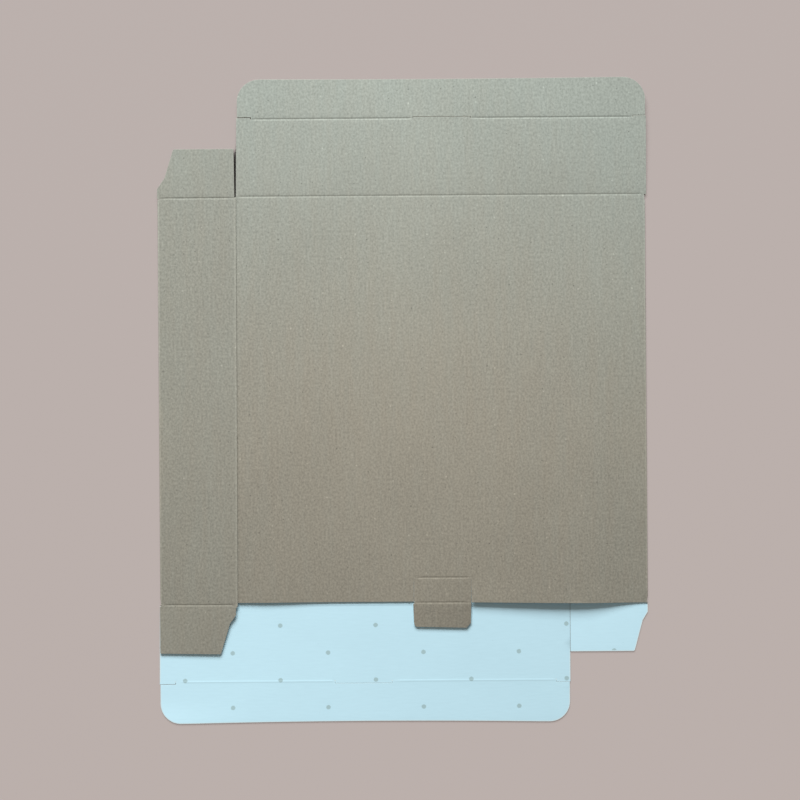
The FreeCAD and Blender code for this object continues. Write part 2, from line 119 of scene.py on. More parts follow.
# Dust flaps: shoulder, notch, its end, taper, length at the notch and at the plain side:
HIDDEN_FLAP = [size * MM for size in (6.2, 4.1, 13.6, 9.6, 32.0, 32.0)]
TOP_FLAP = [size * MM for size in (6.2, 5.0, 13.2, 11.0, 31.3, 31.3)]
LEFT_FLAP = [size * MM for size in (5.8, 3.9, 11.2, 10.0, 31.0, 30.3)]
RIGHT_FLAP = [size * MM for size in (5.8, 3.3, 11.2, 8.6, 31.0, 31.0)]
DUST_RADIUS = 1.4 * MM
LEFT_OUT, LEFT_IN = 0.15 * MM, 0.75 * MM           # lower left flap, off the fold and the seam
LEFT_STEP = 1.6 * MM                               # where its side begins, below the crease
TOP_OUT = 0.6 * MM                                 # upper left flap, off its slit
FAR_EDGE = SEAM - 0.3 * MM                         # right flap's side, close by the closure

# The lock tab and its tip, whose corners are one round and one bevelled:
TAB_RADIUS = 2.4 * MM
TAB_CUT = 0.12 * MM                    # width of the die-cut line beside the tab
TIP_END = tip_low.y - 0.25 * MM
TIP_SLANT, TIP_BEVEL = 0.9 * MM, 3.1 * MM
TIP_TAPER, TIP_OUT = 0.3 * MM, 0.6 * MM

# ---- creases and edges
PRESS_DEPTH, PRESS_SPREAD = 0.2 * MM, 0.55 * MM
PRESS_FADE = 1.8 * MM                  # a crease fades out at its ends
TOP_OFF, TUCK_OFF = 0.2 * MM, 0.4 * MM             # creases are pressed off their lines
SIDE_TOP_OFF, SIDE_BOTTOM_OFF = 0.25 * MM, 0.8 * MM
TAB_OFF, TIP_OFF = 0.85 * MM, 0.65 * MM
TOP_GAP = 2.8 * MM                     # the top crease starts this far from the seam
TAB_GAP = 2.6 * MM                     # the lock tab's creases start this far inside it
SLIT_GAP = {1: (0.5 * MM, 0), -1: (0, 3.6 * MM)}   # plain board between slit and crease
CHAMFER, DROP = 0.06 * MM, 0.05 * MM   # softened corner of a cut edge
RIM, RIM_DROP = 0.5 * MM, 0.01 * MM    # white rim of the inside, pressed by the cut
GRID = 5 * MM                          # spacing of the mesh on a plain panel
FOLD_STEPS = 16                        # facets round a long fold
HOLLOW_STEPS = 30                      # stretches of a tuck-in flap's hollow edge
ARC_STEP, ARC_STEPS = math.radians(6), 4           # widest step of an arc, and the fewest
NEAREST = 0.05 * MM                    # points of a mesh are never nearer than this
TINY = 0.01 * MM                       # nearer than this, two lines are the same
SLIGHT, SLIGHT_CHANGE = 0.02, 0.5      # sine of a slight turn, and where the width changes
MERGED = 1e-5                          # points of the flat mesh this near merge, in millimetres

# Lengths along the blank where its stretches begin:
ALONG_RIGHT = RIGHT_FLAT + SEAM
ALONG_BACK = ALONG_RIGHT + math.pi * (RIGHT_RADIUS - BOARD / 2)
ALONG_LEFT = ALONG_BACK + RIGHT_FLAT - LEFT_FLAT
ALONG_SIDE = ALONG_LEFT + math.pi * (LEFT_RADIUS - BOARD / 2)


def on_face(x):
    """How far along the blank a place on the face panel is, and so on for the others."""
    return x + SEAM


def on_back(x):
    return ALONG_BACK + RIGHT_FLAT - x


def on_side(x):
    return ALONG_SIDE + x - LEFT_FLAT


# ---- how the panels stand off
BOW_START, BOW_PEAK = -4 * MM, 110 * MM         # the face panel's raw end arches up
BOW_RISE, BOW_FALL = 2.6 * MM, 1.7              # and falls to the fold by this power
SEAM_LIFT, SEAM_EASE = 0.7 * MM, 30 * MM        # the seam's lower end stands off a little,
BASE_RISE = 0.3 * MM                            # and so does all of the raw end,
LOOSE_RISE, LOOSE_AT, LOOSE_REACH = 0.6 * MM, -88 * MM, 25 * MM     # most of all here
OPEN_FROM, OPEN_EASE = -60 * MM, 15 * MM
FLAP_DOWN = 0.85                                # share of it that the dust flap loses
FREE_RISE, FREE_REACH = 0.5 * MM, 25 * MM       # more of it beside the lock tab's cut
TIP_RISE = 0.55 * MM
TOP_CURL, DUST_CURL = 1.5 * MM, 2.2 * MM        # loose flaps of the top end curl up


def ramp(value, start, end):
    """0 at start, 1 at end, straight between them."""
    return np.clip((value - start) / (end - start), 0, 1)


def smooth(value, start, end):
    """0 at start, 1 at end, level at both."""
    t = ramp(value, start, end)
    return t * t * (3 - 2 * t)


def face_lift(x, y):
    """The face panel over the back panel: a bow that dies out at the top crease."""
    rise = (1 - np.cos(math.pi * ramp(x, BOW_START, BOW_PEAK))) / 2
    fall = np.cos(math.pi / 2 * ramp(x, BOW_PEAK, RIGHT_FLAT)) ** BOW_FALL
    bow = BOW_RISE * rise * ramp(y, TOP_CREASE, RAW_CORNER)
    beside = np.where(x > tab_high.x, np.exp(-(x - tab_high.x) / FREE_REACH), 0)
    beside = FREE_RISE * beside * smooth(y, TAB_CREASE, RAW_BOTTOM)
    loose = BASE_RISE + LOOSE_RISE * np.exp(-((x - LOOSE_AT) / LOOSE_REACH) ** 2)
    eased = smooth(x, -SEAM, -SEAM + OPEN_EASE)
    open_end = (SEAM_LIFT * (1 - eased) + loose * eased) * smooth(y, OPEN_FROM, RAW_BOTTOM)
    return (bow + beside + open_end) * fall


def side_lift(x, y):
    """The side panel rides on the face panel's loose end; its flap leans back down."""
    aside = smooth(x, LEFT_FLAT, LEFT_FLAT + SEAM_EASE)
    down = 1 - FLAP_DOWN * ramp(y, SIDE_BOTTOM, SIDE_BOTTOM - DUST_LENGTH)
    return SEAM_LIFT * aside * smooth(y, OPEN_FROM, RAW_BOTTOM) * down


def tab_lift(x, y):
    """The lock tab slopes down from its crease in the bowed panel to the back panel."""
    down = ramp(y, tip_low.y, TAB_CREASE)
    return face_lift(x, np.maximum(y, TAB_CREASE)) * down + TIP_RISE * (1 - down) ** 2


def closure_curl(x, y):
    """The top closure and its flap rise steeply from the crease, then less and less."""
    return face_lift(x, y) + TOP_CURL * (1 - (1 - ramp(y, TOP_CREASE, top_tuck_high.y)) ** 2)


def top_dust_curl(x, y):
    """The upper left dust flap stands up at a slight slant."""
    return DUST_CURL * ramp(y, SIDE_TOP, SIDE_TOP + DUST_LENGTH)


def level(x, y):
    """No lift at all, for what lies flat."""
    return np.zeros_like(x)


# ---- folding the blank
def place(x, y, z):
    return np.stack([x, y, z], axis=-1)


def lay_flat(x_of, middle, facing, lift):
    """How the blank lies on one level; facing is 1 with its outside up and -1 with it down."""
    def lay(along, up, out):
        x = x_of(along)
        return place(x, up, middle + facing * out + lift(x, up))
    return lay


def lay_face(lift):
    return lay_flat(lambda along: along - SEAM, FACE_Z + BOARD / 2, 1, lift)


def lay_back(lift):
    return lay_flat(lambda along: RIGHT_FLAT - (along - ALONG_BACK), BOARD / 2, -1, lift)


def lay_side(lift):
    return lay_flat(lambda along: along - ALONG_SIDE + LEFT_FLAT, SIDE_Z + BOARD / 2, 1, lift)


def lay_fold(angle, up, out, flat_x, radius):
    """A half ring about a line over flat_x, from the floor to two radii up."""
    reach = radius - BOARD / 2 + out
    return place(flat_x + reach * np.cos(angle), up, radius + reach * np.sin(angle))


def lay_sleeve(along, up, out):
    """The whole glued sleeve, from the glue flap round to the left side panel."""
    right = ramp(along, ALONG_RIGHT, ALONG_BACK)
    left = ramp(along, ALONG_LEFT, ALONG_SIDE)
    overhang = up <= BOTTOM_CREASE      # the bottom closure runs on flat beyond the fold
    laid = lay_face(face_lift)(along, up, out)
    for where, points in (
            (right > 0, lay_fold(math.pi * (0.5 - right), up, out, RIGHT_FLAT, RIGHT_RADIUS)),
            (right >= 1, lay_back(level)(along, up, out)),
            (left > 0, lay_fold(math.pi * (1.5 - left), up, out, LEFT_FLAT, LEFT_RADIUS)),
            (left >= 1, lay_side(side_lift)(along, up, out)),
            ((right >= 1) & overhang, lay_back(level)(along, up, out))):
        laid[where] = points[where]
    return laid


# ---- outlines and creases
# An outline is a list of corners (x, y) or (x, y, radius), on one panel or along the blank.


def along_blank(on_panel, corners):
    """Corners given by x on a panel, as corners given along the blank."""
    return [(on_panel(x), *rest) for x, *rest in corners]


def turned(turn, x, y, *radius):
    """A corner given for the top end; turn -1 swings it round to the bottom end."""
    return (x, y, *radius) if turn > 0 else (-x, 2 * MIDDLE - y, *radius)


def blank_ends(on_panel, turn, left, right):
    """The two ends of a line on a panel, in order along the blank."""
    return sorted(on_panel(turn * x) for x in (left, right))


def tuck_creases(turn):
    """Where a tuck crease runs between the locks, as for the top end: (left, right) twice."""
    near, far = SLITS[turn]
    return [(near - NEAR, SLOT_MIDDLE - HALF_TAB), (SLOT_MIDDLE + HALF_TAB, FAR - far)]


def lock_edge(turn, left_side):
    """A closure's tuck edge from right to left, at the top end: ears stand at the locks."""
    ear, inside_ears = TOP_TUCK + LOCK_RISE, TOP_TUCK - STRIP
    corners = [(FAR - SIDE_IN[turn][1], ear)]
    for left, right in tuck_creases(turn)[::-1]:
        corners += [(right, ear), (right, inside_ears), (left, inside_ears), (left, ear)]
    return corners + [(left_side, ear)]


def tuck_corners(turn, low, high):
    """A tuck-in flap: recessed round the ears, with a hollow edge and round corners."""
    near, far = (low.x + TOP_LEAN, high.x) if turn > 0 else (-high.x, -low.x)
    far -= SIDE_IN[turn][1]
    tip = high.y if turn > 0 else 2 * MIDDLE - low.y
    ear, strip = TOP_TUCK + LOCK_RISE, TOP_TUCK - STRIP
    slits, radius = SLIT_WIDTHS[turn], TUCK_RADIUS[turn]
    corners = [(near, ear + slits[0])]
    for (left, right), first, last in zip(tuck_creases(turn), slits, slits[1:]):
        corners += [(left + first, ear + first), (left + first, TOP_TUCK), (left, TOP_TUCK),
                    (left, strip), (right, strip), (right, TOP_TUCK),
                    (right - last, TOP_TUCK), (right - last, ear + last)]
    corners += [(far, ear + slits[-1]), (far, tip, radius)]
    middle, reach = (near + far) / 2, (far - near) / 2 - radius
    for share in np.linspace(1, -1, HOLLOW_STEPS + 1)[1:-1]:
        hollow = TUCK_HOLLOW[turn] * (1 - share ** 2)
        corners.append((middle + reach * share, tip - hollow))
    corners.append((near, tip, radius))
    return [turned(turn, *corner) for corner in corners]


def closure_corners():
    """The top closure with its ears, and a strip of the face panel below its crease."""
    return [(-SEAM, TOP_CREASE - STRIP), (RIGHT_FLAT, TOP_CREASE - STRIP), (RIGHT_FLAT, TOP_CREASE),
            (FAR - SIDE_IN[1][0], TOP_CREASE), *lock_edge(1, TOP_LEAN - NEAR),
            (TOP_LEAN / 3 - NEAR, TOP_CREASE), (-SEAM, TOP_CREASE)]


def dust_corners(notched, plain, crease, up, shape):
    """A dust flap beyond its crease, from the foot of its notched side to its plain side."""
    inward = 1 if plain > notched else -1
    shoulder, notch, notch_end, taper, end, plain_end = shape
    return [(notched, crease), (notched, crease + up * shoulder),
            (notched + inward * notch, crease + up * notch_end),
            (notched + inward * taper, crease + up * end, DUST_RADIUS),
            (plain, crease + up * plain_end, SQUARE), (plain, crease)]


def strip_corners(start, end, crease, up):
    """The strip of the panel that bends with a flap, from the plain side back."""
    return [(end, crease), (end, crease - up * STRIP), (start, crease - up * STRIP), (start, crease)]


def tab_gap():
    """The gap that the lock tab leaves in the face's raw end, from left to right."""
    left, right, foot = tab_low.x, tab_high.x, TAB_CREASE + STRIP
    return [(left - TAB_CUT, RAW_BOTTOM + RAW_STEP), (left - TAB_CUT, TAB_CREASE),
            (left, TAB_CREASE), (left, foot), (right, foot), (right, TAB_CREASE),
            (right + TAB_CUT, TAB_CREASE), (right + TAB_CUT, RAW_BOTTOM)]


def hidden_tab():
    """The back panel's own lock tab, under the top closure, from left to right."""
    left, right = -tab_high.x, -tab_low.x
    end, hinge = RAW_TOP + TAB_REACH, RAW_TOP - TAB_HINGE
    return [(left - TAB_CUT, RAW_TOP), (left - TAB_CUT, hinge), (left, hinge),
            (left, end, TAB_RADIUS), (right, end, TAB_RADIUS), (right, hinge),
            (right + TAB_CUT, hinge), (right + TAB_CUT, RAW_TOP)]


def bottom_corners():
    """The blank's bottom end, from the glue flap to the left side panel's raw edge."""
    glue_end, strip = SIDE_BOTTOM + GLUE_END, SIDE_BOTTOM + STRIP
    lock = [turned(-1, *corner) for corner in lock_edge(-1, -NEAR)]
    return [(-GLUE_WIDTH, glue_end + GLUE_TAPER), (0, glue_end), (0, RAW_BOTTOM + RAW_STEP),
            *along_blank(on_face, tab_gap()),
            (ALONG_RIGHT, RAW_CORNER), (ALONG_BACK, RAW_CORNER), (ALONG_BACK, strip),
            *along_blank(on_back, [(SEAM, strip), (SEAM, SIDE_BOTTOM), (NEAR, SIDE_BOTTOM)]),
            *along_blank(on_back, lock[::-1]),
            (on_back(SIDE_IN[-1][0] - FAR), BOTTOM_CREASE), (ALONG_LEFT, BOTTOM_CREASE),
            (ALONG_LEFT, strip), (on_side(RAW_EDGE), strip)]


def top_corners():
    """The blank's top end, from the left side panel's raw edge back to the glue flap."""
    glue_end, strip = SIDE_TOP - GLUE_END, TOP_CREASE - STRIP
    slit = SEAM + DUST_SLIT
    return [(on_side(RAW_TOP_EDGE), SIDE_TOP - STRIP), (ALONG_LEFT, SIDE_TOP - STRIP),
            (ALONG_LEFT, RAW_TOP), *along_blank(on_back, [*hidden_tab(), (slit, RAW_TOP)]),
            *along_blank(on_back, dust_corners(slit, RIGHT_FLAT, SIDE_TOP, 1, HIDDEN_FLAP)),
            (ALONG_RIGHT, SIDE_TOP), (ALONG_RIGHT, strip), (0, strip),
            (0, glue_end), (-GLUE_WIDTH, glue_end - GLUE_TAPER)]


def crease_lines():
    """Every pressed line: which way it runs, where, its start and end, and how deep it is."""
    lines = [("along", TOP_CREASE + TOP_OFF, TOP_GAP, ALONG_RIGHT, 0.85),
             ("along", BOTTOM_CREASE, on_back(NEAR), ALONG_LEFT, 0.4),
             ("along", SIDE_TOP + SIDE_TOP_OFF, ALONG_SIDE, on_side(RAW_TOP_EDGE), 1.0),
             ("along", SIDE_BOTTOM + SIDE_BOTTOM_OFF, ALONG_SIDE, on_side(RAW_EDGE), 0.95),
             ("along", SIDE_TOP, ALONG_BACK, on_back(SEAM + DUST_SLIT), 0.6),
             ("along", SIDE_BOTTOM, ALONG_BACK, on_back(SEAM), 0.6),
             ("up", 0, SIDE_BOTTOM, TOP_CREASE, 0.8),
             ("up", on_back(SEAM), SIDE_BOTTOM, RAW_TOP, 0.6)]
    for turn, on_panel, off, strength in ((1, on_face, 0, 1.1), (-1, on_back, TUCK_OFF, 0.3)):
        (first, second), (third, last) = tuck_creases(turn)
        at_left, at_right = SLIT_GAP[turn]
        for left, right in ((first + at_left, second), (third, last - at_right)):
            ends = blank_ends(on_panel, turn, left, right)
            lines.append(("along", turned(turn, 0, TOP_TUCK)[1] + off, *ends, strength))
    for turn, on_panel in ((1, on_face), (-1, on_back)):
        ends = blank_ends(on_panel, turn, tab_low.x + TAB_GAP, tab_high.x)
        for height in (TAB_CREASE + TAB_OFF, TAB_FOLD + TIP_OFF):
            lines.append(("along", turned(turn, 0, height)[1], *ends, 0.9))
    return lines


CREASES = crease_lines()


def press(along, up):
    """How far the creases push the board in, away from its kraft side."""
    depth = np.zeros_like(along)
    for way, line, start, end, strength in CREASES:
        across, run = (up, along) if way == "along" else (along, up)
        fade = smooth(run, start, start + PRESS_FADE) * smooth(run, end, end - PRESS_FADE)
        depth = np.maximum(depth, strength * fade * np.exp(-((across - line) / PRESS_SPREAD) ** 2))
    return -PRESS_DEPTH * depth


def joined_runs():
    """Lines where a flap goes on from its panel with no cut edge: left, right and height."""
    runs = [(0, on_face(RIGHT_FLAT), TOP_CREASE - STRIP),
            (on_face(tab_low.x), on_face(tab_high.x), TAB_CREASE + STRIP),
            (on_face(tab_low.x), on_face(tab_high.x), TAB_FOLD + STRIP),
            (ALONG_SIDE, on_side(RAW_TOP_EDGE), SIDE_TOP - STRIP),
            (ALONG_SIDE, on_side(RAW_EDGE), SIDE_BOTTOM + STRIP),
            (ALONG_BACK, on_back(SEAM), SIDE_BOTTOM + STRIP)]
    for turn, on_panel in ((1, on_face), (-1, on_back)):
        for left, right in tuck_creases(turn):
            ends = blank_ends(on_panel, turn, left, right)
            runs.append((*ends, turned(turn, 0, TOP_TUCK - STRIP)[1]))
    return runs


JOINED = joined_runs()


def edge_width(start, end, white):
    """How wide the softened edge is along one run of an outline, or its white rim."""
    left, right = sorted((start[0], end[0]))
    low, high = sorted((start[1], end[1]))
    joined = high - low < TINY and any(
        abs(low - up) < TINY and left > run_left - TINY and right < run_right + TINY
        for run_left, run_right, up in JOINED)
    foot_of_tab = TAB_CREASE - TINY < low and high < TAB_CREASE + STRIP + TINY
    if joined or (foot_of_tab and right < ALONG_RIGHT):
        return 0.0
    by_tuck_crease = any(TOP_TUCK - STRIP - TINY < abs(up - MIDDLE) < TOP_TUCK + 2 * LOCK_RISE
                         for up in (low, high))
    beside_closure = abs(left - on_back(NEAR)) < MM and low > SIDE_BOTTOM - DUST_LENGTH
    if white and high < SIDE_BOTTOM and not (by_tuck_crease or beside_closure):
        return RIM
    return CHAMFER


# ---- meshing a piece
CREASE_OFFSETS = [offset * MM for offset in (-1.2, -0.85, -0.6, -0.4, -0.2, 0,
                                             0.2, 0.4, 0.6, 0.85, 1.2)]
CREASE_ROOM = 2 * STRIP                # the plain grid stays this far off a crease


def even_lines(low, high):
    """Evenly spaced lines of the grid, with one at each end."""
    count = max(1, round((high - low) / GRID))
    return list(np.linspace(low, high, count + 1))


def thinned(lines):
    """The lines in order, without those that all but repeat another."""
    kept = []
    for line in sorted(lines):
        if not kept or line - kept[-1] > NEAREST:
            kept.append(line)
    return kept


def grid_columns(left, right, folded):
    """Columns of the grid between two places along the blank, close together at the folds."""
    columns = []
    for start, end in ((left, min(right, ALONG_RIGHT)), (max(left, ALONG_BACK), min(right, ALONG_LEFT)),
                       (max(left, ALONG_SIDE), right)):
        if end > start:
            columns += even_lines(start, end)
    if folded:
        for start, end in ((ALONG_RIGHT, ALONG_BACK), (ALONG_LEFT, ALONG_SIDE)):
            columns += list(np.linspace(start, end, FOLD_STEPS + 1))
    return thinned(columns)


def rounded(before, here, after, radius):
    """One corner of an outline, as the points of its arc."""
    here = np.array(here)
    if not radius:
        return [here]
    arrive, leave = (np.array(other) - here for other in (before, after))
    arrive, leave = arrive / np.linalg.norm(arrive), leave / np.linalg.norm(leave)
    half = math.acos(arrive @ leave) / 2
    between = (arrive + leave) / np.linalg.norm(arrive + leave)
    centre = here + between * radius / math.sin(half)
    start, end = (here + way * radius / math.tan(half) - centre for way in (arrive, leave))
    turn = math.pi - 2 * half
    steps = max(ARC_STEPS, math.ceil(turn / ARC_STEP))
    shares = [step / steps for step in range(steps + 1)]
    return [centre + (start * math.sin((1 - share) * turn) + end * math.sin(share * turn))
            / math.sin(turn) for share in shares]


def trace(corners, columns, rows):
    """Points along an outline: arcs at its corners, cuts where the mesh's lines cross it."""
    corners = [c for number, c in enumerate(corners)
               if math.dist(c[:2], corners[number - 1][:2]) > NEAREST]
    arcs = []
    for number, corner in enumerate(corners):
        before, after = corners[number - 1][:2], corners[(number + 1) % len(corners)][:2]
        radius = corner[2] if len(corner) > 2 else 0
        arcs.append(rounded(before, corner[:2], after, radius))
    points = []
    for arc, following in zip(arcs, arcs[1:] + arcs[:1]):
        points += arc
        run = following[0] - arc[-1]
        axis = 0 if abs(run[0]) > abs(run[1]) else 1
        shares = sorted((line - arc[-1][axis]) / run[axis] for line in (columns, rows)[axis])
        margin = NEAREST / abs(run[axis])
        points += [arc[-1] + run * share for share in shares if margin < share < 1 - margin]
    area = sum(a[0] * b[1] - a[1] * b[0] for a, b in zip(points, points[1:] + points[:1]))
    return np.array(points if area > 0 else points[::-1])


def inset(outline, widths):
    """The outline moved inwards, each run of it by its own width.

    At a slight turn the two moved runs meet far off, or nowhere where their
    widths differ, so its point moves straight in by their mean width instead.
    """
    runs = np.roll(outline, -1, axis=0) - outline
    runs /= np.linalg.norm(runs, axis=1)[:, None]
    inwards = np.stack([-runs[:, 1], runs[:, 0]], axis=-1)
    before, width_before = np.roll(inwards, 1, axis=0), np.roll(widths, 1)
    sine = before[:, 0] * inwards[:, 1] - before[:, 1] * inwards[:, 0]
    slight = abs(sine) < np.where(widths == width_before, SLIGHT, SLIGHT_CHANGE)
    meeting = np.stack([width_before * inwards[:, 1] - widths * before[:, 1],
                        widths * before[:, 0] - width_before * inwards[:, 0]], axis=-1)
    meeting /= np.where(slight, 1, sine)[:, None]
    straight_in = inwards * ((widths + width_before) / 2)[:, None]
    return outline + np.where(slight[:, None], straight_in, meeting)


def inside(points, outline):
    """Which points lie within a closed outline."""
    hit = np.zeros(len(points), bool)
    for (x0, y0), (x1, y1) in zip(outline, np.roll(outline, -1, axis=0)):
        if y0 == y1:
            continue
        crosses = (points[:, 1] > min(y0, y1)) & (points[:, 1] <= max(y0, y1))
        hit ^= crosses & (points[:, 0] < x0 + (points[:, 1] - y0) / (y1 - y0) * (x1 - x0))
    return hit


def clear_of(points, outline, widths):
    """Which points are further from every run than its softened corner reaches."""
    clear = np.ones(len(points), bool)
    for start, end, width in zip(outline, np.roll(outline, -1, axis=0), widths):
        run = end - start
        share = np.clip((points - start) @ run / (run @ run), 0, 1)
        gap = np.linalg.norm(points - start - share[:, None] * run, axis=1)
        clear &= gap > width + 1.5 * NEAREST
    return clear


def grid_points(low, high, columns, rows):
    """Places for vertices inside a piece: a plain grid, with close lines at its creases."""
    wide = np.array([(x, y) for x in columns for y in rows])
    close = []
    for way, line, start, end, _ in CREASES:
        axis = 1 if way == "along" else 0
        other = 1 - axis
        if not (low[axis] - CREASE_ROOM < line < high[axis] + CREASE_ROOM):
            continue
        stations = [s for s in (columns, rows)[other] if start <= s <= end]
        if not any(low[other] < s < high[other] for s in stations):
            continue
        near = abs(wide[:, axis] - line) < CREASE_ROOM
        near &= (wide[:, other] >= start) & (wide[:, other] <= end)
        wide = wide[~near]
        for offset in CREASE_OFFSETS:
            close += [(line + offset, s) if axis == 0 else (s, line + offset) for s in stations]
    return np.array([*wide.tolist(), *close])


def cut_lines(lines, way):
    """Lines of the grid, and the close ones at the creases that run that way."""
    close = [line + offset for crease_way, line, *_ in CREASES if crease_way == way
             for offset in CREASE_OFFSETS]
    return thinned(lines + close)


def triangulate(corners, folded, white):
    """The mesh of an outline: points, triangles, which of those are soft, and each point's drop."""
    flat = np.array([corner[:2] for corner in corners])
    low, high = flat.min(axis=0), flat.max(axis=0)
    columns, rows = grid_columns(low[0], high[0], folded), thinned(even_lines(low[1], high[1]))
    outline = trace(corners, cut_lines(columns, "up"), cut_lines(rows, "along"))
    after = np.roll(outline, -1, axis=0)
    widths = np.array([edge_width(start, end, white) for start, end in zip(outline, after)])
    inner = inset(outline, widths)
    grid = grid_points(low, high, columns, rows)
    grid = grid[inside(grid, outline)]
    grid = grid[clear_of(grid, outline, widths)]

    # The soft edge lies between the outline and the inner line, where that has moved.
    count = len(outline)
    moved = (widths > 0) | (np.roll(widths, 1) > 0)
    numbers = [count + n if moved[n] else n for n in range(count)]
    edges = [(n, (n + 1) % count) for n in range(count)]
    edges += [(numbers[a], numbers[b]) for a, b in edges if moved[a] or moved[b]]
    points = [Vector(point / MM) for point in (*outline, *inner, *grid)]
    used, _, triangles, origins, _, _ = geometry.delaunay_2d_cdt(points, edges, [], 0, MERGED)
    used, triangles = np.array([tuple(point) for point in used]) * MM, np.array(triangles)
    drop_of = {0.0: 0.0, CHAMFER: DROP, RIM: RIM_DROP}
    narrower = np.minimum(widths, np.roll(widths, 1))
    drops = np.array([max((drop_of[narrower[n]] for n in origin if n < count), default=0.0)
                      for origin in origins])
    triangles = triangles[inside(used[triangles].mean(axis=1), outline)]
    soft = ~inside(used[triangles].mean(axis=1), np.where(moved[:, None], inner, outline))
    return used, triangles, soft, drops


def outer_edges(triangles):
    """The directed edges that only one triangle has."""
    edges = {(int(t[n]), int(t[(n + 1) % 3])) for t in triangles for n in range(3)}
    return np.array([edge for edge in edges if edge[::-1] not in edges])


KRAFT, INSIDE, CUT_EDGE, INSIDE_RIM = range(4)      # numbers of the materials
WHITE_UP = ("sleeve_board", "bottom_tuck_flap_board", "right_dust_flap_bottom_board")
FLAT_FACE = math.radians(30)           # facets that meet at less than this look smooth


def make_piece(name, corners, lay, folded):
    """One piece of board: both faces, its softened corners and its cut edge."""
    points, triangles, soft, drops = triangulate(corners, folded, name in WHITE_UP)
    along, up = points.T
    pressed = press(along, up)
    top = lay(along, up, BOARD / 2 - drops + pressed)
    bottom = lay(along, up, -BOARD / 2 + np.minimum(drops, DROP) + pressed)
    count = len(points)
    rim = outer_edges(triangles)
    walls = np.stack([rim[:, 0] + count, rim[:, 1] + count, rim[:, 1], rim[:, 0]], axis=-1)
    faces = triangles.tolist() + (triangles[:, ::-1] + count).tolist() + walls.tolist()
    mesh = bpy.data.meshes.new(name)
    mesh.from_pydata(np.concatenate([top, bottom]).tolist(), [], faces)
    looks = np.concatenate([np.where(soft, CUT_EDGE, KRAFT), np.where(soft, INSIDE_RIM, INSIDE),
                            np.full(len(walls), CUT_EDGE)])
    mesh.polygons.foreach_set("material_index", looks.astype(np.int32))
    mesh.polygons.foreach_set("use_smooth", np.ones(len(faces), bool))
    numbers = np.zeros(len(mesh.loops), np.int32)
    mesh.loops.foreach_get("vertex_index", numbers)
    blank = mesh.uv_layers.new(name="blank")
    blank.data.foreach_set("uv", points[numbers % count].astype(np.float32).ravel())
    for material in board_looks:
        mesh.materials.append(material)
    mesh.set_sharp_from_angle(angle=FLAT_FACE)
    mesh.validate()
    piece = bpy.data.objects.new(name, mesh)
    bpy.context.scene.collection.objects.link(piece)
    return piece


# ---- materials
def colour(red, green, blue):
    """A colour of 0 to 255 values, as the linear colour that a shader takes."""
    shares = [value / 255 for value in (red, green, blue)]
    return [s / 12.92 if s <= 0.04045 else ((s + 0.055) / 1.055) ** 2.4 for s in shares] + [1]


